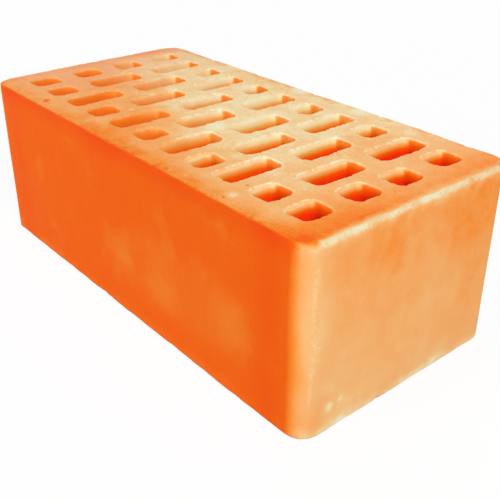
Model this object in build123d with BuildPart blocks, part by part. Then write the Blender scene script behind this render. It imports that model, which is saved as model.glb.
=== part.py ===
"""A perforated facing brick, one and a half size: one extruded and fired piece of clay.

Millimetres. The brick lies on its bed as it is laid. X runs along its length, Y across its
width and Z up, and the origin is the middle of the lower bed. The clay is pushed through a die
along Z, which gives the upright corners their round and makes the holes, and wires cut the beds.
"""

import os

from build123d import *

# The body of the brick
length = 250.0
width = 120.0
height = 88.0
corner_radius = 10.0
bed_arris_radius = 2.0

# The clay left round the holes, and between them
header_wall = 15.0
stretcher_wall = 13.5
web_in_column = 10.5
web_in_end_column = 11.0

# The holes, in columns across the width
column_count = 11
end_column_holes = 4
hole_width = 12.5
short_hole = 14.0
hole_corner_radius = 3.5

# Where the clay has pushed a core of the die off its place, along the length and across the
# width, for the column and the hole in it, both counted from nought
core_drift = {
    (6, 1): (1.4, 0.0),
    (7, 1): (1.2, 0.0),
    (8, 0): (-1.8, 0.0),
    (8, 1): (1.2, 0.0),
    (9, 1): (1.8, 0.0),
    (9, 2): (1.5, 0.0),
    (10, 1): (0.8, 0.0),
    (10, 2): (2.0, -2.2),
}

# The most of a hole's smaller side that one corner round may take, just short of a full round
round_share_limit = 0.49

# Each column fills the width between the two stretcher walls. Two long holes and a short one
# share it in the middle columns, and equal short holes share it in the two end columns.
column_span = width - 2 * stretcher_wall
long_hole = (column_span - short_hole - 2 * web_in_column) / 2
end_hole = (column_span - (end_column_holes - 1) * web_in_end_column) / end_column_holes
column_pitch = (length - 2 * header_wall - hole_width) / (column_count - 1)


def column_lengths(column):
    """The hole lengths of a column, from the near stretcher face to the far one, and its web."""
    if column in (0, column_count - 1):
        return [end_hole] * end_column_holes, web_in_end_column
    if column % 2:
        return [short_hole, long_hole, long_hole], web_in_column
    return [long_hole, long_hole, short_hole], web_in_column


def hole_places():
    """The middle of every hole and its length across the brick."""
    places = []
    for column in range(column_count):
        x = (column - (column_count - 1) / 2) * column_pitch
        lengths, web = column_lengths(column)
        near_end = -column_span / 2
        for hole, hole_length in enumerate(lengths):
            along, across = core_drift.get((column, hole), (0.0, 0.0))
            places.append(((x + along, near_end + hole_length / 2 + across), hole_length))
            near_end += hole_length + web
    return places


with BuildPart() as brick:
    # The die's outline, cut off at the brick's height
    with BuildSketch():
        RectangleRounded(length, width, corner_radius)
    extrude(amount=height)

    # The cut edges of both beds, softened before firing
    beds = brick.faces().filter_by(Axis.Z)
    fillet(beds.edges(), radius=bed_arris_radius)

    # The holes, which the die's cores leave open from bed to bed
    with BuildSketch():
        for place, hole_length in hole_places():
            largest_round = round_share_limit * min(hole_width, hole_length)
            with Locations(place):
                RectangleRounded(hole_width, hole_length, min(hole_corner_radius, largest_round))
    extrude(amount=height, mode=Mode.SUBTRACT)

brick.part.label = "brick"

os.makedirs("parts", exist_ok=True)
export_step(brick.part, "parts/brick.step")
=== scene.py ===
"""A perforated facing brick of fired clay on a pale floor, as it lies in the photograph.

The brick is one closed mesh, built here round the same sizes as the solid. Its beds are cut by
wires, its sides are drawn through the die, and its arrises and the rims of its holes are worn.
Sizes are in millimetres and turned into metres where the mesh, the lamps and the camera are made.
"""

import itertools
import math

import bpy
import numpy as np
from mathutils import Matrix, Vector
from mathutils.geometry import delaunay_2d_cdt


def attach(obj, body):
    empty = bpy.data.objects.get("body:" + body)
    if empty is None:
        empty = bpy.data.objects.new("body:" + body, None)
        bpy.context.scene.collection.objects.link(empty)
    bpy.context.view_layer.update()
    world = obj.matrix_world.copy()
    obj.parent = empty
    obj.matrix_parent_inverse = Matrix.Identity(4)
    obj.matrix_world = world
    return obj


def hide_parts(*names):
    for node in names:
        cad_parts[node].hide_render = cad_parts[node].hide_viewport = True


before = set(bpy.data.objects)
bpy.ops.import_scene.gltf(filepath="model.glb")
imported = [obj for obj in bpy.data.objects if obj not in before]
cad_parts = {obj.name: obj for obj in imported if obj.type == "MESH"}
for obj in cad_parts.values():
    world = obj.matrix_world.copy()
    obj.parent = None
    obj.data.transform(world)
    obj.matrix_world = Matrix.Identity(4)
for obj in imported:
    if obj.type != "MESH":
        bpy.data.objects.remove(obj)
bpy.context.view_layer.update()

MM = 0.001
rng = np.random.RandomState(88)

# The brick, with the names and values of its source
length = 250.0
width = 120.0
height = 88.0
corner_radius = 10.0
header_wall = 15.0
stretcher_wall = 13.5
web_in_column = 10.5
web_in_end_column = 11.0
column_count = 11
end_column_holes = 4
hole_width = 12.5
short_hole = 14.0
hole_corner_radius = 3.5
core_drift = {
    (6, 1): (1.4, 0.0),
    (7, 1): (1.2, 0.0),
    (8, 0): (-1.8, 0.0),
    (8, 1): (1.2, 0.0),
    (9, 1): (1.8, 0.0),
    (9, 2): (1.5, 0.0),
    (10, 1): (0.8, 0.0),
    (10, 2): (2.0, -2.2),
}
column_span = width - 2 * stretcher_wall
long_hole = (column_span - short_hole - 2 * web_in_column) / 2
end_hole = (column_span - (end_column_holes - 1) * web_in_end_column) / end_column_holes
column_pitch = (length - 2 * header_wall - hole_width) / (column_count - 1)

# How finely the mesh is drawn: the steps along the outline, along a rim and over a bed, the rows
# down a wall, the facets round an arris and a rim, and the fewest round an upright corner
outline_step = 1.4
rim_step = 0.8
bed_step = 1.5
wall_rows = 30
hole_rows = 8
arris_arcs = 5
rim_arcs = 4
least_arcs = 4
# How closely the rows of a wall crowd towards the beds
wall_crowding = 0.5
hole_crowding = 0.93
# The points over a bed, all in steps: how far the loose ones stray, how far they keep from its
# outline's arris, and how far off each loop its own ring of points lies
stray = 0.22
outline_clear = 1.4
ring_gap = 0.8
# The triangles of a bed: faces kept inside the outline, and the least distance between two points
inside_outline = 1
least_apart = 1e-5

# The round of the upper arrises, on the header sides and on the stretcher sides, that of the
# sharper lower ones, how far it wanders, and the least it comes to
header_arris = 3.6
stretcher_arris = 1.2
lower_arris = 1.2
arris_wander = 0.18
least_arris = 0.6
# How far round a corner the one upper arris begins to turn into the other, and has done so
arris_turn = (0.3, 0.9)

# The round of a hole's rim, soft to the left, where the wire pushed the clay in, and sharp where
# it tore away, how far it wanders, and the least it comes to
soft_rim = 2.0
torn_rim = 0.7
rim_wander = 0.2
least_rim = 0.6
# How soft a rim is at its far end, as a share of its softness to the left
soft_far_end = 0.4
# The teeth along a torn rim: how far one bites into the clay, how long it is, how steeply it
# rises, and the share of it that is lost where the rim is soft
tooth_bite = 0.9
tooth_length = 1.9
tooth_rise = 2.4
tooth_loss = 0.6

# How far the skin lies inside the solid before relief is added, and how deep each relief goes
skin_depth = 0.25
slow_swell = 0.4
die_drag = 0.05
bed_tear = 0.20
hole_waver = 0.35
arris_waver = 0.22
rim_crumble = 0.22
# How much more an arris is worn away than it swells, and the share of the crumbling that a hole's
# own wall is spared
worn_lead = 0.25
wall_spared = 0.5
# How near the edge of a bed or a rim the clay is wholly worn, and where it no longer is
edge_reach = (1.0, 7.0)
rim_reach = (0.4, 2.6)

# The noise behind each kind of relief: the size of a bump, along each axis where that differs,
# how many layers it has, and where in the noise it starts
swell_noise = (60, 2, 5)
drag_noise = (np.array([4.0, 4.0, 90.0]), 3, 11)
tear_noise = (np.array([14.0, 3.5, 14.0]), 3, 17)
crumb_noise = (2.2, 2, 23)
worn_noise = (8, 2, 29)
wobble_noise = (3.0, 2, 37)
# Behind what changes along a loop: the size of a bump, and where in the noise it starts, which
# for a rim goes with its level
wander_layers = 3
top_arris_noise = (16, 3)
low_arris_noise = (16, 9)
hole_noise = (9, 20)
rim_bump = 5
rim_starts = ((height, 40), (0.0, 50))
tooth_layers = 2
tooth_start = 3

# Chips along the arrises: how many, how large, how strongly small ones outnumber large ones, how
# deep for their size and what shares of that depth they come to, how far inside the outline they
# are, and the share of them on the lower bed
chip_count = 46
chip_size = (1.0, 2.8)
chip_skew = 3
chip_share = 0.2
chip_depths = (0.6, 1.0)
chip_inset = 0.6
lower_chip_share = 0.3
# How ragged a chip is, and where its side begins and ends for its size
chip_wobble = 0.7
chip_side = (0.35, 1.0)
# The pit and the chips that the photograph shows, where and how large, and how much deeper they are
seen_chips = [
    ((-73.6, -54.2, height), 2.4),
    ((-4.7, -59.4, height), 1.7),
    ((70.4, -59.4, height), 1.8),
    ((94.5, -59.4, height), 1.6),
    ((76.0, -56.5, height), 1.2),
]
seen_chip_depth = 1.5


def column_lengths(column):
    """The hole lengths of a column, from the near stretcher face to the far one, and its web."""
    if column in (0, column_count - 1):
        return [end_hole] * end_column_holes, web_in_end_column
    if column % 2:
        return [short_hole, long_hole, long_hole], web_in_column
    return [long_hole, long_hole, short_hole], web_in_column


def hole_places():
    """The middle of every hole and its length across the brick."""
    places = []
    for column in range(column_count):
        x = (column - (column_count - 1) / 2) * column_pitch
        lengths, web = column_lengths(column)
        near_end = -column_span / 2
        for hole, hole_length in enumerate(lengths):
            along, across = core_drift.get((column, hole), (0.0, 0.0))
            places.append(((x + along, near_end + hole_length / 2 + across), hole_length))
            near_end += hole_length + web
    return places


# Smooth noise from random slopes on a lattice, which repeats only after this many cells, and how
# far apart its layers are taken from it
lattice = 256
layer_shift = 31.7
order = rng.permutation(lattice)
slopes = rng.normal(size=(lattice, 3))
slopes /= np.linalg.norm(slopes, axis=1)[:, None]


def noise(points):
    """Smooth noise round nought, about half a unit either way, with one bump to a unit."""
    cell = np.floor(points).astype(int)
    part = points - cell
    fade = part ** 3 * (part * (part * 6 - 15) + 10)
    total = np.zeros(len(points))
    for corner in itertools.product((0, 1), repeat=3):
        at = (cell + corner) % lattice
        key = order[(order[(order[at[:, 0]] + at[:, 1]) % lattice] + at[:, 2]) % lattice]
        rise = ((part - corner) * slopes[key]).sum(axis=1)
        total += rise * np.prod(np.where(corner, fade, 1 - fade), axis=1)
    return total


def layered(points, bump, layers, start):
    """Noise with bumps of this size, and finer and weaker layers over it."""
    total = np.zeros(len(points))
    for layer in range(layers):
        total += noise(points / bump * 2 ** layer + start + layer_shift * layer) / 2 ** layer
    return total


def ease(value, low, high):
    """Rises smoothly from 0 at low to 1 at high."""
    share = np.clip((value - low) / (high - low), 0, 1)
    return share * share * (3 - 2 * share)


def rounded_loop(size_x, size_y, radius, step):
    """Points round a rectangle with round corners, counterclockwise, and the way out at each."""
    half_x = size_x / 2 - radius
    half_y = size_y / 2 - radius
    corners = [(half_x, -half_y), (half_x, half_y), (-half_x, half_y), (-half_x, -half_y)]
    arc_count = max(least_arcs, math.ceil(radius * math.pi / 2 / step))
    points = []
    outward = []
    for index, centre in enumerate(corners):
        for angle in np.radians(90 * index + np.linspace(-90, 0, arc_count + 1)):
            way = np.array([math.cos(angle), math.sin(angle)])
            points.append(np.array(centre) + radius * way)
            outward.append(way)
        start = points[-1]
        way = outward[-1]
        end = np.array(corners[(index + 1) % 4]) + radius * way
        run_count = math.ceil(np.linalg.norm(end - start) / step)
        for share in np.arange(1, run_count) / run_count:
            points.append(start + (end - start) * share)
            outward.append(way)
    return np.array(points), np.array(outward)


def graded(count, crowding):
    """Shares from 0 to 1 without its ends, crowded towards both."""
    share = np.arange(1, count) / count
    return share - crowding * np.sin(2 * math.pi * share) / (2 * math.pi)


def wall_grid(loop, outward, side, top_round, low_round, arcs, rows, crowding):
    """Rows of points from the upper bed, round its edge, down a wall and round to the lower bed.

    side is 1 for the outside of the brick and -1 for the wall of a hole.
    """
    grid = []
    facing = []

    def add_row(round_off, turn, upper):
        back = round_off * (1 - math.sin(turn))
        drop = round_off * (1 - math.cos(turn))
        flat = loop - side * outward * back[:, None]
        level = height - drop if upper else drop
        rise = math.cos(turn) * (1 if upper else -1)
        grid.append(np.column_stack([flat, level]))
        facing.append(np.column_stack([side * outward * math.sin(turn), np.full(len(loop), rise)]))

    turns = np.linspace(0, math.pi / 2, arcs + 1)
    for turn in turns:
        add_row(top_round, turn, True)
    for share in graded(rows, crowding):
        level = (height - top_round) * (1 - share) + low_round * share
        grid.append(np.column_stack([loop, level]))
        facing.append(np.column_stack([side * outward, np.zeros(len(loop))]))
    for turn in turns[::-1]:
        add_row(low_round, turn, False)
    return np.array(grid), np.array(facing)


def distance_outside(points, centre, size_x, size_y, radius):
    """How far points lie outside a rectangle with round corners, less than nought inside it."""
    reach = np.abs(points - centre) - (np.array([size_x, size_y]) / 2 - radius)
    outside = np.linalg.norm(np.maximum(reach, 0), axis=1)
    return outside + np.minimum(reach.max(axis=1), 0) - radius


# The mesh, as it grows: its points, the way the skin faces at each and whether it is in a hole,
# its faces, and the numbers of the points where each wall meets a bed
points = []
facing = []
in_hole = []
faces = []
upper_loops = []
lower_loops = []


def point_total():
    """How many points the mesh has so far."""
    return sum(len(part) for part in points)


def add_points(places, ways, hole):
    """Adds points to the mesh, with the way the skin faces at each."""
    points.append(places)
    facing.append(ways)
    in_hole.append(np.full(len(places), float(hole)))


def add_wall(grid, ways, hole):
    """Adds a closed grid of quads, and keeps the loops where it meets the beds."""
    rows, around = grid.shape[:2]
    number = point_total() + np.arange(rows * around).reshape(rows, around)
    add_points(grid.reshape(-1, 3), ways.reshape(-1, 3), hole)
    after = np.roll(number, -1, axis=1)
    quads = [number[:-1], number[1:], after[1:], after[:-1]]
    if hole:
        quads = quads[::-1]
    faces.extend(np.stack(quads, axis=-1).reshape(-1, 4).tolist())
    upper_loops.append(number[0])
    lower_loops.append(number[-1])


def at_level(loop, level):
    """A flat loop's points at one level."""
    return np.column_stack([loop, np.full(len(loop), level)])


def wander(loop, level, bump, start, reach):
    """A slow change of size along a loop, up to about reach either way."""
    return 2 * reach * layered(at_level(loop, level), bump, wander_layers, start)


def ragged_rim(loop, softness, level, start):
    """The round of a rim point by point, with teeth most of all where it is torn."""
    teeth = layered(at_level(loop, level), tooth_length, tooth_layers, start + tooth_start)
    bite = tooth_bite * np.clip(tooth_rise * teeth, 0, 1) * (1 - tooth_loss * softness)
    even = torn_rim + (soft_rim - torn_rim) * softness
    return np.maximum(even + bite + wander(loop, level, rim_bump, start, rim_wander), least_rim)


# The outside of the brick
outline, outline_out = rounded_loop(length, width, corner_radius, outline_step)
header_side = ease(np.abs(outline_out[:, 0]), *arris_turn)
upper_arris = stretcher_arris + (header_arris - stretcher_arris) * header_side
top_change = wander(outline, height, *top_arris_noise, arris_wander)
low_change = wander(outline, 0, *low_arris_noise, arris_wander)
top_round = np.maximum(upper_arris + top_change, least_arris)
low_round = np.maximum(lower_arris + low_change, least_arris)
how_fine = (arris_arcs, wall_rows, wall_crowding)
add_wall(*wall_grid(outline, outline_out, 1, top_round, low_round, *how_fine), False)

# The holes, each a little out of true as the core left it, with a noise of its own
how_fine = (rim_arcs, hole_rows, hole_crowding)
for number, (middle, hole_length) in enumerate(hole_places()):
    loop, loop_out = rounded_loop(hole_width, hole_length, hole_corner_radius, rim_step)
    off_true = wander(loop + middle, number, *hole_noise, hole_waver)
    loop = loop + middle + loop_out * off_true[:, None]
    softness = ease(-loop_out[:, 0] + soft_far_end * loop_out[:, 1], 0.0, 1.0)
    rim_rounds = [ragged_rim(loop, softness, level, start) for level, start in rim_starts]
    add_wall(*wall_grid(loop, loop_out, -1, *rim_rounds, *how_fine), True)


def bed_points():
    """Loose points over the clay of a bed, clear of its outline and of its holes."""
    row_step = bed_step * math.sqrt(3) / 2
    flat = []
    for row, y in enumerate(np.arange(-width / 2, width / 2, row_step)):
        start = -length / 2 + (row % 2) * bed_step / 2
        flat.extend((x, y) for x in np.arange(start, length / 2, bed_step))
    flat = np.array(flat)
    flat += rng.uniform(-stray, stray, flat.shape) * bed_step
    clear = header_arris + outline_clear * bed_step
    keep = distance_outside(flat, (0, 0), length, width, corner_radius) < -clear
    for middle, hole_length in hole_places():
        apart = distance_outside(flat, middle, hole_width, hole_length, hole_corner_radius)
        keep &= apart > soft_rim + tooth_bite + bed_step
    return flat[keep]


def rings(loops):
    """A ring of points on the clay beside each loop, inside the outline and outside the holes."""
    known = np.concatenate(points)
    found = []
    for index, numbers in enumerate(loops):
        flat = known[numbers, :2]
        along = np.roll(flat, -1, axis=0) - np.roll(flat, 1, axis=0)
        along /= np.linalg.norm(along, axis=1)[:, None]
        out = np.column_stack([along[:, 1], -along[:, 0]])
        found.append(flat + out * (-ring_gap if index == 0 else ring_gap) * bed_step)
    return np.concatenate(found)


def inside_loop(centres, loop):
    """Which points lie inside a closed loop, by the crossings of a line to the side."""
    inside = np.zeros(len(centres), bool)
    low = loop.min(axis=0)
    high = loop.max(axis=0)
    near = np.flatnonzero(((centres > low) & (centres < high)).all(axis=1))
    x, y = centres[near].T
    state = np.zeros(len(near), bool)
    for (x0, y0), (x1, y1) in zip(loop, np.roll(loop, -1, axis=0)):
        crosses = (y0 > y) != (y1 > y)
        if y0 != y1:
            state ^= crosses & (x < (x1 - x0) * (y - y0) / (y1 - y0) + x0)
    inside[near] = state
    return inside


def add_bed(loops, upper, loose):
    """Fills a bed between its outline and its holes with triangles on the loops' own points."""
    known = np.concatenate(points)
    extra = np.concatenate([rings(loops), loose])
    numbers = np.concatenate([*loops, point_total() + np.arange(len(extra))])
    flat = np.concatenate([known[np.concatenate(loops), :2], extra])
    edges = []
    first = 0
    for loop in loops:
        around = first + np.arange(len(loop))
        edges.extend(zip(around.tolist(), np.roll(around, -1).tolist()))
        first += len(loop)
    given = [Vector(spot) for spot in flat]
    made = delaunay_2d_cdt(given, edges, [], inside_outline, least_apart)
    spots, _, triangles, origins, _, _ = made
    if len(spots) != len(flat):
        raise ValueError("the bed's triangles have points of their own")
    source = [numbers[origin[0]] for origin in origins]
    centres = np.array([np.mean([spots[corner] for corner in face], axis=0) for face in triangles])
    keep = np.ones(len(centres), bool)
    for loop in loops[1:]:
        keep &= ~inside_loop(centres, known[loop, :2])
    for face, kept in zip(triangles, keep):
        if kept:
            corners = [int(source[corner]) for corner in face]
            faces.append(corners if upper else corners[::-1])
    way = [0.0, 0.0, 1.0 if upper else -1.0]
    add_points(at_level(extra, height if upper else 0.0), np.tile(way, (len(extra), 1)), False)


add_bed(upper_loops, True, bed_points())
add_bed(lower_loops, False, bed_points())

place = np.concatenate(points)
way = np.concatenate(facing)
hole = np.concatenate(in_hole)


def bed_distance(at):
    """How far points lie from the nearer bed."""
    return np.minimum(at[:, 2], height - at[:, 2])


def edge_distance(at):
    """How far points lie from the nearest edge of either bed."""
    inset = -distance_outside(at[:, :2], (0, 0), length, width, corner_radius)
    return np.hypot(np.maximum(inset, 0), bed_distance(at))


def rim_distance(at):
    """How far points lie from the nearest rim of a hole."""
    nearest = np.full(len(at), np.inf)
    for middle, hole_length in hole_places():
        apart = distance_outside(at[:, :2], middle, hole_width, hole_length, hole_corner_radius)
        nearest = np.minimum(nearest, np.abs(apart))
    return np.hypot(nearest, bed_distance(at))


def chips():
    """The middle, size and depth of every chip, on the edges of both beds."""
    seen_share = chip_share * seen_chip_depth
    found = [(np.array(middle), size, size * seen_share) for middle, size in seen_chips]
    for _ in range(chip_count):
        index = rng.randint(len(outline))
        upper = rng.rand() > lower_chip_share
        size = chip_size[0] + (chip_size[1] - chip_size[0]) * rng.rand() ** chip_skew
        inset = outline[index] - outline_out[index] * chip_inset
        middle = np.array([*inset, height if upper else 0.0])
        found.append((middle, size, size * chip_share * rng.uniform(*chip_depths)))
    return found


near_edge = 1 - ease(edge_distance(place), *edge_reach)
near_rim = 1 - ease(rim_distance(place), *rim_reach)
sides = 1 - np.abs(way[:, 2])
flat_bed = 1 - sides

swell = slow_swell * layered(place, *swell_noise)
drag = die_drag * layered(place, *drag_noise) * sides
tear = bed_tear * layered(place, *tear_noise) * flat_bed
crumbs = rim_crumble * near_rim * np.minimum(layered(place, *crumb_noise), 0)
crumbs *= 1 - wall_spared * hole
worn = arris_waver * near_edge * (layered(place, *worn_noise) - worn_lead) * (1 - hole)
relief = swell + drag + tear + crumbs + worn

broken = np.zeros(len(place))
wobble = chip_wobble * layered(place, *wobble_noise)
for middle, size, chip_depth in chips():
    apart = np.linalg.norm(place - middle, axis=1) / size + wobble
    dent = (1 - ease(apart, *chip_side)) * (1 - hole)
    relief -= chip_depth * dent
    broken = np.maximum(broken, dent)

# In a hole the wall may swell either way, and elsewhere the skin stays inside the solid
inner = hole * sides
relief = inner * relief + (1 - inner) * np.minimum(relief - skin_depth, 0)
place = place + way * relief[:, None]

mesh = bpy.data.meshes.new("brick_body")
mesh.from_pydata((place * MM).tolist(), [], faces)
mesh.validate()
mesh.shade_smooth()
point_values = {
    "hole_wall": hole,
    "near_rim": near_rim,
    "near_edge": near_edge * (1 - hole),
    "broken": broken,
}
for name, values in point_values.items():
    attribute = mesh.attributes.new(name, "FLOAT", "POINT")
    attribute.data.foreach_set("value", values.astype(np.float32))
body = bpy.data.objects.new("brick_body", mesh)
bpy.context.scene.collection.objects.link(body)


def linear(*levels):
    """A colour of 0 to 255 as the shader takes it."""
    shares = [level / 255 for level in levels]
    return [s / 12.92 if s <= 0.04045 else ((s + 0.055) / 1.055) ** 2.4 for s in shares] + [1.0]


# The clay's tones, from the reddest, painted as shade deep in the holes, to the palest, painted as
# sheen and highlights, with their colours
clay_tones = [
    (0.00, linear(251, 26, 16)),
    (0.20, linear(249, 84, 10)),
    (0.36, linear(248, 103, 11)),
    (0.50, linear(247, 142, 49)),
    (0.65, linear(247, 172, 101)),
    (0.76, linear(246, 190, 125)),
    (0.92, linear(245, 231, 183)),
    (1.00, linear(243, 237, 218)),
]
# The tone that each part of the brick starts from
# Painted light and shade: the one clay is painted as in shade on the stretchers and as lit on the
# headers and the beds
shaded_stretcher_base = 0.35
lit_header_base = 0.652
lit_bed_base = 0.64
# Painted shade: the tone deep in the holes
deep_wall_shade_base = 0.39
long_wall_base = 0.48
end_wall_base = 0.50
# Painted light on the arrises: a little paler on the stretcher side, a cream highlight on the
# header side
stretcher_arris_tone = 0.47
header_arris_highlight = 0.885
# How much of that tone an arris takes on, on the stretcher side and on the header side
arris_shares = (0.6, 0.95)
# How far round a corner the header's tone begins to show, and where it is all there, and how much
# further round it comes from the one height to the other
tone_turn = (0.04, 0.84)
further_round = (25, 75, 1.0, 1.6)
# How far to the near side of the middle the edge of the painted sheen on the beds crosses the brick
sheen_crossing = 20.0
# What some places have mixed in or multiplied on: a rosy cast at the left end of the beds, up to
# this share, and less blue in the shade of the holes, from this share at the left, and painted
# shade along the arrises, over their painted highlight
most_rosy = 0.35
rosy = linear(245, 176, 146)
least_shade = 0.35
wall_cast = (0.98, 1.0, 0.62, 1.0)
stretcher_arris_shade = (0.80, 0.86, 0.86, 1.0)
header_arris_shade = (0.90, 0.92, 0.99, 1.0)

# The noises of the colours: the size of a bump in millimetres, its detail and roughness, how far
# it is stretched along each axis, and where it starts
colour_noises = {
    "cloud": (26, 4, 0.55, (1, 1, 1), (0, 0, 0)),
    "mottle": (7, 4, 0.55, (1, 1, 1), (5, 3, 1)),
    "grain": (1.1, 3, 0.7, (1, 1, 1), (1, 7, 4)),
    "streak": (9, 3, 0.55, (1, 1, 9), (2, 2, 6)),
    "smear": (30, 4, 0.6, (1, 1, 1.5), (4, 9, 3)),
    "crumb": (2.4, 2, 0.55, (1, 1, 1), (8, 1, 6)),
}
pore_spacing = 2.6

# The relief that is too fine for the mesh: its strength and its depth
bump_strength = 0.55
bump_depth = 0.35
# How rough the clay is at either end of the span of its mottle, and how much it shines
rough_span = (-0.4, 0.4, 0.52, 0.72)
shine = 0.05


class Shader:
    """Short ways to add nodes to a material or to the world."""

    def __init__(self, owner):
        owner.use_nodes = True
        self.tree = owner.node_tree
        self.tree.nodes.clear()

    def add(self, kind, values=(), **settings):
        """A node of this kind with its settings, and its inputs given in order or by name."""
        node = self.tree.nodes.new(kind)
        for name, value in settings.items():
            setattr(node, name, value)
        inputs = values.items() if isinstance(values, dict) else enumerate(values)
        for key, value in inputs:
            if isinstance(value, bpy.types.NodeSocket):
                self.tree.links.new(value, node.inputs[key])
            else:
                node.inputs[key].default_value = value
        return node

    def math(self, operation, *values):
        return self.add("ShaderNodeMath", values, operation=operation).outputs[0]

    def sum(self, *values):
        total = values[0]
        for value in values[1:]:
            total = self.math("ADD", total, value)
        return total

    def product(self, *values):
        total = values[0]
        for value in values[1:]:
            total = self.math("MULTIPLY", total, value)
        return total

    def ease(self, value, low, high, start=0.0, end=1.0):
        """Goes smoothly from start at low to end at high."""
        values = (value, low, high, start, end)
        return self.add("ShaderNodeMapRange", values, interpolation_type="SMOOTHSTEP").outputs[0]

    def ramp(self, value, low, high):
        """Rises evenly from 0 at low to 1 at high."""
        return self.add("ShaderNodeMapRange", (value, low, high, 0.0, 1.0)).outputs[0]

    def mix(self, share, first, second):
        """A number between the first and the second."""
        values = {0: share, 2: first, 3: second}
        return self.add("ShaderNodeMix", values, data_type="FLOAT").outputs[0]

    def tint(self, share, colour, other, way):
        """A colour with this share of another one mixed in or multiplied on."""
        values = {0: share, 6: colour, 7: other}
        return self.add("ShaderNodeMix", values, data_type="RGBA", blend_type=way).outputs[2]

    def seen(self):
        """1 for what the camera sees, straight or in a gloss or through glass."""
        path = self.add("ShaderNodeLightPath").outputs
        straight_or_gloss = self.math("MAXIMUM", path["Is Camera Ray"], path["Is Glossy Ray"])
        return self.math("MAXIMUM", straight_or_gloss, path["Is Transmission Ray"])

    def attribute(self, name):
        return self.add("ShaderNodeAttribute", attribute_name=name).outputs["Fac"]

    def noise(self, vector, bump, detail, roughness, stretch, move):
        """Noise round nought, about half a unit either way, with bumps this many mm across."""
        scale = [1 / (bump * MM * share) for share in stretch]
        scaled = self.add("ShaderNodeMapping", {"Vector": vector, "Scale": scale, "Location": move})
        layers = {"Scale": 1.0, "Detail": detail, "Roughness": roughness}
        made = self.add("ShaderNodeTexNoise", {"Vector": scaled.outputs[0], **layers})
        return self.math("SUBTRACT", made.outputs["Fac"], 0.5)

    def surface(self, shader):
        self.add("ShaderNodeOutputMaterial", {"Surface": shader.outputs[0]})


clay = bpy.data.materials.new("fired_clay")
shader = Shader(clay)
at = shader.add("ShaderNodeTexCoord").outputs["Object"]
axes = shader.add("ShaderNodeSeparateXYZ", (at,)).outputs
geometry = shader.add("ShaderNodeNewGeometry").outputs
normal = shader.add("ShaderNodeSeparateXYZ", (geometry["Normal"],)).outputs
x, y, z = [shader.math("DIVIDE", axis, MM) for axis in axes]

# The length of the normal seen from above, kept off nought so that it can be divided by
almost_nought = 1e-5
flat_squares = [shader.math("POWER", part, 2.0) for part in (normal[0], normal[1])]
flat_length = shader.math("SQRT", shader.sum(*flat_squares, almost_nought))

# What the tone goes by at a place: where it is, which way it faces, what it is near, and noise.
# to_header is 0 on a stretcher face, 1 on a header face, and between them round a corner.
measures = {
    "x": x,
    "y": y,
    "z": z,
    "from_middle": shader.math("ABSOLUTE", x),
    "above_middle": shader.math("SUBTRACT", z, height / 2),
    "depth": shader.math("MINIMUM", z, shader.math("SUBTRACT", height, z)),
    "to_header": shader.math("ABSOLUTE", shader.math("DIVIDE", normal[0], flat_length)),
    "to_right": normal[0],
    "lean": shader.math("ABSOLUTE", normal[2]),
    "hole_wall": shader.attribute("hole_wall"),
    "rim": shader.attribute("near_rim"),
    "edge": shader.attribute("near_edge"),
    "chip": shader.attribute("broken"),
}
for name, settings in colour_noises.items():
    measures[name] = shader.noise(at, *settings)
pore_values = {"Vector": at, "Scale": 1 / (pore_spacing * MM)}
pores = shader.add("ShaderNodeTexVoronoi", pore_values, feature="F1")
measures["pore"] = pores.outputs["Distance"]


def where(*limits):
    """How much of a place counts: the product of its limits.

    A limit is a measure's name, or its name with the value where it begins to count and the one
    where it wholly does.
    """
    parts = []
    for limit in limits:
        if isinstance(limit, str):
            parts.append(measures[limit])
        else:
            name, begins, whole = limit
            parts.append(shader.ease(measures[name], begins, whole))
    return shader.product(*parts)


def changed(value, changes):
    """A value with changes added: each a label, how much it is, and where."""
    for label, size, *limits in changes:
        part = shader.product(where(*limits), size)
        part.node.label = label
        value = shader.math("ADD", value, part)
    return value


# The stretcher faces: deep orange, painted as the clay in shade, redder under the arris and before
# the corner, with soft smears
shaded_stretcher_tone = changed(shaded_stretcher_base, [
    ("soft smears", 0.045, ("smear", 0.0, 0.2)),
    ("clouds", 0.07, "cloud"),
    ("redder under the arris", -0.12, ("z", 76, 87)),
    ("paler at the foot", 0.03, ("z", 8, 3)),
    ("paler field", 0.045, ("x", -5, 30), ("x", 102, 84), ("z", 8, 26), ("z", 60, 42)),
    ("redder before the corner", -0.06, ("from_middle", 90, 104), ("from_middle", 113, 106)),
])

# The header faces: peach, painted as the clay lit, deeper to the upper far side, and a cream band
# down the corner that is a painted highlight
highlight_band_round = [("to_header", 0.81, 0.89), ("to_header", 1.01, 0.93)]
measures["corner_highlight"] = where(*highlight_band_round, ("z", 6, 30), ("z", 86, 76))
by_corner = [("y", -43, -52), ("y", -59.5, -55)]
lit_header_tone = changed(lit_header_base, [
    ("deeper further up", -0.0020, "above_middle"),
    ("deeper to the far side", -0.0006, "y"),
    ("clouds", 0.20, "cloud"),
    ("streaks of the die", 0.04, "streak"),
    ("mottle", 0.12, "mottle"),
    ("painted highlight band", 0.015, "corner_highlight"),
    ("its streaks", 0.45, "corner_highlight", "streak"),
    ("its grain", 0.20, "corner_highlight", "grain"),
    ("paler foot", 0.08, ("z", 7, 1)),
    ("paler low down", 0.02, ("z", 26, 10)),
    ("paler under the arris", 0.04, ("z", 80, 86)),
    ("deeper foot of the near corner", -0.08, *by_corner),
    ("paler up the near corner", 0.18, *by_corner, ("z", 4, 62)),
])

# Round a corner the one tone turns into the other, and the header's comes further round higher up
come_round = shader.product(measures["to_header"], shader.ease(z, *further_round))
header_share = shader.ramp(come_round, *tone_turn)
side_tone = shader.mix(header_share, shaded_stretcher_tone, lit_header_tone)
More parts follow.
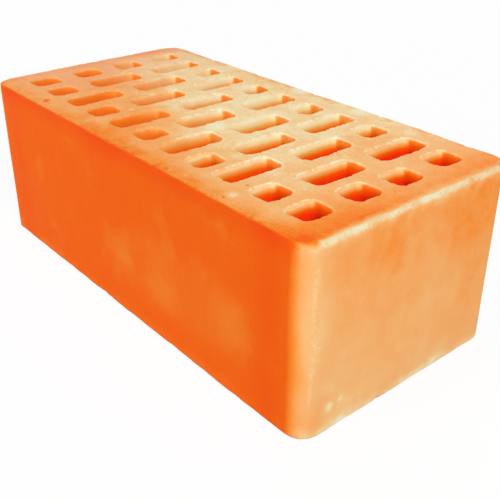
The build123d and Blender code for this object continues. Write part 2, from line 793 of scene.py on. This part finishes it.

# The beds: painted as the clay lit, orange by the near side and by the header, with a pale painted
# sheen over the rest, whose edge runs aslant and is uneven
measures["sheen_edge"] = changed(sheen_crossing, [
    ("across", 1.0, "y"),
    ("aslant", 0.30, "x"),
    ("uneven", 40.0, "cloud"),
])
sheen_end = ("x", 122, 42)
lit_bed_tone = changed(lit_bed_base, [
    # The painted sheen on the beds
    ("bloom", 0.21, ("sheen_edge", -20, 20), sheen_end, ("x", -122, -106)),
    ("orange along the near side", -0.13, ("y", -48, -60)),
    ("less so to the left", 0.06, ("y", -48, -60), ("x", -40, -80)),
    ("deeper at the left end", -0.07, ("x", -111, -121)),
    ("deeper towards the header", -0.10, ("x", 100, 122)),
    ("deeper still before its arris", -0.04, ("x", 115, 121)),
    ("orange in the near right corner", -0.09, ("x", 98, 118), ("y", 5, -40)),
    ("deeper in the far left corner", -0.08, ("x", -104, -118), ("y", 18, 36)),
    ("clouds", 0.18, "cloud"),
    ("mottle", 0.24, "mottle"),
    ("grain", 0.20, "grain"),
    ("paler round the right-hand rims", 0.05, ("rim", 0.25, 0.95), ("x", -30, 60)),
])
measures["bed_share"] = shader.ease(measures["lean"], 0.45, 0.92)
level_share = shader.math("MAXIMUM", measures["bed_share"], measures["hole_wall"])
skin_tone = shader.mix(level_share, side_tone, lit_bed_tone)

# Haze in patches, beside the arrises of the header
measures["haze"] = changed(measures["cloud"], [("finer patches", 0.8, "mottle")])
skin_tone = changed(skin_tone, [
    ("haze", 0.16, ("haze", -0.1, 0.25), "edge", ("from_middle", 110, 119), ("depth", 14, 6)),
])

# The arrises: a painted highlight, a broad cream band on the header side, and a little paler on
# the stretcher side
measures["ragged_lean"] = changed(measures["lean"], [
    ("mottle", 0.45, "mottle"),
    ("grain", 0.20, "grain"),
])
arris_highlight_band = where(("ragged_lean", 0.0, 0.6), ("ragged_lean", 1.05, 0.85), "edge")
on_header = shader.ease(measures["to_header"], 0.88, 0.995)
arris_tone = changed(shader.mix(on_header, stretcher_arris_tone, header_arris_highlight), [
    ("clouds", 0.20, "cloud"),
    ("mottle", 0.35, "mottle"),
    ("grain", 0.20, "grain"),
])
arris_highlight_share = shader.product(arris_highlight_band, shader.mix(on_header, *arris_shares))
skin_tone = shader.mix(arris_highlight_share, skin_tone, arris_tone)

# The holes: their long walls begin as pale as the bed, painted as lit, and their ends orange, and
# both fall to red with depth as painted shade, later where the painted sheen is
measures["sheen_walls"] = where(("sheen_edge", -34, 34), sheen_end)
measures["shade_depth"] = changed(measures["depth"], [
    ("later in the painted sheen", -3.2, "sheen_walls"),
    ("less so to the right", 1.8, "sheen_walls", ("x", -95, -35)),
    ("sooner in the right half", 0.45, ("x", 20, 60)),
    ("later by the header", -0.15, ("x", 85, 105)),
])
# Painted shade: the walls turn red as they go deeper into the holes
fall = where(("shade_depth", 1.0, 6.8))
deep_shade_tone = changed(deep_wall_shade_base, [
    ("redder to the right", -0.33, ("x", -10, 100)),
    ("paler to the left of the painted sheen", 0.14, "sheen_walls", ("x", -40, -80)),
])
right_half = changed(0.0, [
    ("paler to the right", 0.8, ("x", -30, 45)),
    ("less so by the header", -0.16, ("x", 60, 100)),
])
# Painted light: the long walls paler where the sheen is and in the right half
measures["painted_lit_part"] = shader.math("MAXIMUM", measures["sheen_walls"], right_half)
long_wall_tone = changed(long_wall_base, [
    ("bloom", 0.38, "painted_lit_part"),
    ("more of it past the left end", 0.09, "painted_lit_part", ("x", -90, -40)),
    ("paler to the right", 0.04, ("x", 40, 100)),
])
end_wall_tone = changed(end_wall_base, [
    ("paler past the middle", 0.07, ("x", -20, 20)),
    ("deeper to the right", -0.14, ("x", 45, 95)),
])
on_long_wall = where(("to_header", 0.35, 0.75), ("to_right", -0.2, 0.1))
mouth_tone = shader.mix(on_long_wall, end_wall_tone, long_wall_tone)
mouth_tone = changed(mouth_tone, [("mottle", 0.12, "mottle")])
wall_tone = shader.mix(fall, mouth_tone, deep_shade_tone)

# A rim is like the bed where it still faces up, with broken pale lines along its soft sides that
# are a painted highlight
measures["in_wall"] = where("hole_wall", ("lean", 0.85, 0.35))
measures["to_end"] = shader.math("ABSOLUTE", normal[1])
measures["soft_side"] = changed(normal[0], [("the ends of a hole too", 0.45, "to_end")])
measures["line"] = changed(measures["crumb"], [("longer to the right", 0.08, ("x", -10, 70))])
rim_highlight = ("hole_wall", ("soft_side", 0.05, 0.3), ("lean", 0.7, 0.9))
tone = changed(shader.mix(measures["in_wall"], skin_tone, wall_tone), [
    ("painted highlight lines", 0.13, *rim_highlight, ("line", -0.04, 0.13)),
])

# Marks that the photograph shows: where, how large, and how much paler or redder
marks = [
    ("orange pit by the near arris", (-72.9, -54.8, height), 2.4, -0.36),
    ("far end of the pit", (-74.7, -53.2, height), 2.2, -0.36),
    ("pale crumb", (-33.9, -28.3, height), 2.0, 0.22),
    ("pale crumb by the near arris", (49.2, -55.7, height), 1.4, 0.18),
    ("orange patch along the near arris", (-10.0, -54.0, height), 26.0, -0.07),
    ("orange patch beside it", (-42.0, -49.0, height), 14.0, -0.07),
    ("peach patch along the near arris", (76.0, -55.0, height), 20.0, 0.07),
    ("deeper patch to the right", (72.0, 28.0, height), 24.0, -0.07),
    ("peach patch at the left end", (-119.0, 13.0, height), 9.0, 0.09),
    ("cream patch by the near arris", (76.0, -53.0, height), 4.2, 0.20),
    ("red speck by the near arris", (75.0, -56.5, height), 1.1, -0.35),
    ("red speck by a rim", (72.7, -42.7, height), 1.1, -0.35),
    # Painted highlights of the sheen on the bed: its white and cream patches, also along the far
    # arris
    ("painted white haze of the sheen on the far arris", (-3.3, 58.5, height), 8.0, 0.20),
    ("painted cream glint along the far arris", (40.8, 56.2, height), 7.0, 0.14),
    ("painted white glint in the sheen", (21.8, 14.0, height), 6.0, 0.14),
    ("painted white haze in the sheen", (11.9, -11.1, height), 8.0, 0.14),
    ("cream patch to the far right", (75.3, 53.0, height), 7.0, 0.11),
    # A painted highlight on the header arris
    ("painted white glint on the header arris", (125.0, 3.7, 87.0), 4.5, 0.12),
    ("cream specks low on the header", (125.0, -45.0, 12.1), 3.6, 0.13),
    ("cream speck beside them", (125.0, -38.5, 13.0), 2.6, 0.10),
    ("yellow patch low on the header", (125.0, 24.5, 6.7), 9.0, 0.06),
    ("white haze on a rim", (14.5, -26.0, 87.0), 6.0, 0.08),
    ("cream patch in a short slot", (35.3, -40.0, 85.5), 7.0, 0.08),
    ("orange smudge high on the header", (125.0, 31.9, 76.0), 24.0, -0.035),
    ("orange smudge in the middle of it", (125.0, -12.4, 72.0), 14.0, -0.04),
    ("pale smear on the stretcher", (0.0, -60.0, 36.0), 16.0, 0.045),
    ("pale smear further along", (33.0, -60.0, 28.0), 17.0, 0.05),
    ("pale smear towards the corner", (84.0, -60.0, 34.0), 18.0, 0.05),
    ("pale smear by the left end", (-79.0, -60.0, 50.0), 11.0, 0.04),
]
# Where a mark begins to fade and has gone, for its size, and how ragged its edge is
mark_fade = (0.05, 1.0)
mark_edge = [("mottle", 1.1, "mottle"), ("grain", 0.4, "grain")]
for label, middle, size, change in marks:
    ends = (at, [level * MM for level in middle])
    apart = shader.add("ShaderNodeVectorMath", ends, operation="DISTANCE", label=label)
    share = shader.math("DIVIDE", apart.outputs["Value"], size * MM)
    mark = shader.ease(changed(share, mark_edge), *mark_fade, change, 0.0)
    tone = shader.math("ADD", tone, mark)
tone = changed(tone, [
    ("grain", 0.06, "grain"),
    ("redder in a chip", -0.08, "chip"),
])

# The colour of each tone, on a ramp that already has stops at its two ends
tone_ramp = shader.add("ShaderNodeValToRGB", (tone,))
stops = tone_ramp.color_ramp.elements
for level, _ in clay_tones[1:-1]:
    stops.new(level)
for stop, (_, tone_colour) in zip(stops, clay_tones):
    stop.color = tone_colour

at_left_end = where("bed_share", ("y", -60, -40), ("x", -50, -110))
in_hole_shade = where("in_wall", ("depth", 0.5, 4.0))
shade_size = shader.ease(x, -70, 30, least_shade, 1.0)
on_stretcher = shader.math("SUBTRACT", 1.0, on_header)
tints = [
    (shader.product(at_left_end, most_rosy), rosy, "MIX"),
    (shader.product(in_hole_shade, shade_size), wall_cast, "MULTIPLY"),
    # Painted shade along the arrises, dimming their lit colour and the header's painted highlight
    (shader.product(arris_highlight_share, on_stretcher), stretcher_arris_shade, "MULTIPLY"),
    (shader.product(arris_highlight_share, on_header), header_arris_shade, "MULTIPLY"),
]
colour = tone_ramp.outputs[0]
for share, other, way_of_mixing in tints:
    colour = shader.tint(share, colour, other, way_of_mixing)

fine_relief = changed(measures["grain"], [
    ("mottle", 1.2, "mottle"),
    ("streaks down the sides", 0.3, "streak", ("bed_share", 0.8, 0.2)),
    ("pores", -0.25, ("pore", 0.26, 0.05)),
    ("rough in a chip", 1.5, "grain", "chip"),
])
bump_values = {"Strength": bump_strength, "Distance": bump_depth * MM, "Height": fine_relief}
bump = shader.add("ShaderNodeBump", bump_values)
clay_values = {
    "Base Color": colour,
    "Roughness": shader.ease(measures["mottle"], *rough_span),
    "Specular IOR Level": shine,
    "Normal": bump.outputs[0],
}
shader.surface(shader.add("ShaderNodeBsdfPrincipled", clay_values))
body.data.materials.append(clay)

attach(body, "root")
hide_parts("brick")

# The floor, in metres: white to the camera, with the brick's soft shadow kept. The shadow falls
# on the part of the floor that isn't white of itself, and what lights the brick is grey paper.
floor_half = 4.0
white_share = 0.92
paper_grey = 0.55
shadow_grey = 0.95


def grey(level):
    return (level, level, level, 1.0)


floor_signs = [(-1, -1), (1, -1), (1, 1), (-1, 1)]
floor_corners = [(floor_half * along, floor_half * across, 0) for along, across in floor_signs]
floor_mesh = bpy.data.meshes.new("floor")
floor_mesh.from_pydata(floor_corners, [], [(0, 1, 2, 3)])
floor = bpy.data.objects.new("floor", floor_mesh)
bpy.context.scene.collection.objects.link(floor)

paper = bpy.data.materials.new("pale_floor")
floor_shader = Shader(paper)
paper_matt = floor_shader.add("ShaderNodeBsdfDiffuse", {"Color": grey(paper_grey)}).outputs[0]
shadow_catch = floor_shader.add("ShaderNodeBsdfDiffuse", {"Color": grey(shadow_grey)}).outputs[0]
white = floor_shader.add("ShaderNodeEmission", {"Color": grey(1.0), "Strength": 1.0}).outputs[0]
white_floor = floor_shader.add("ShaderNodeMixShader", (white_share, shadow_catch, white)).outputs[0]
floor_choice = (floor_shader.seen(), paper_matt, white_floor)
floor_shader.surface(floor_shader.add("ShaderNodeMixShader", floor_choice))
floor_mesh.materials.append(paper)

# The room: soft light from all round, and white behind everything
room_light = 0.15
backdrop_light = 1.0
world = bpy.data.worlds.new("room")
bpy.context.scene.world = world
sky = Shader(world)
room = sky.add("ShaderNodeBackground", {"Color": grey(1.0), "Strength": room_light})
backdrop = sky.add("ShaderNodeBackground", {"Color": grey(1.0), "Strength": backdrop_light})
sky_choice = sky.add("ShaderNodeMixShader", (sky.seen(), room.outputs[0], backdrop.outputs[0]))
sky.add("ShaderNodeOutputWorld", {"Surface": sky_choice.outputs[0]})

# The lamps, square soft boxes: where each is and its side, in metres, and its power in watts
lamps = [
    ("key_from_the_right", (1.43, -0.25, 1.11), 0.5, 23.1),
    ("fill_from_the_front", (-0.35, -1.5, 0.7), 0.9, 14.8),
    ("fill_from_behind", (-0.5, 1.5, 0.6), 0.9, 9.5),
    ("fill_from_the_left", (-1.5, -0.1, 0.5), 0.9, 8.0),
]
lamp_aim = (0.0, 0.0, 0.04)
for name, position, side, power in lamps:
    light = bpy.data.lights.new(name, "AREA")
    light.size = side
    light.energy = power
    holder = bpy.data.objects.new(name, light)
    holder.location = position
    turn = (Vector(lamp_aim) - Vector(position)).to_track_quat("-Z", "Y")
    holder.rotation_euler = turn.to_euler()
    bpy.context.scene.collection.objects.link(holder)

# The camera, from a fit to the brick's outline and rims at this size: where it is and what it
# looks at, its roll in degrees, and its focal length and the drop of its centre in pixels
camera_place = (284.92, -220.27, 212.75)
camera_aim = (39.513, -13.329, 44.0)
camera_roll = 0.214
focal_pixels = 775.84
centre_drop = -18.0
picture_side = 500.0
sensor_width = 36.0
clip_start = 0.01
clip_end = 20.0

camera_data = bpy.data.cameras.new("camera")
camera = bpy.data.objects.new("camera", camera_data)
bpy.context.scene.collection.objects.link(camera)
bpy.context.scene.camera = camera
camera_data.sensor_width = sensor_width
camera_data.lens = focal_pixels / picture_side * sensor_width
camera_data.shift_y = centre_drop / picture_side
camera_data.clip_start = clip_start
camera_data.clip_end = clip_end
camera.location = Vector(camera_place) * MM
look = (Vector(camera_aim) - Vector(camera_place)).to_track_quat("-Z", "Y").to_matrix()
camera.rotation_euler = (look @ Matrix.Rotation(math.radians(camera_roll), 3, "Z")).to_euler()

bpy.context.scene.view_settings.view_transform = "Standard"
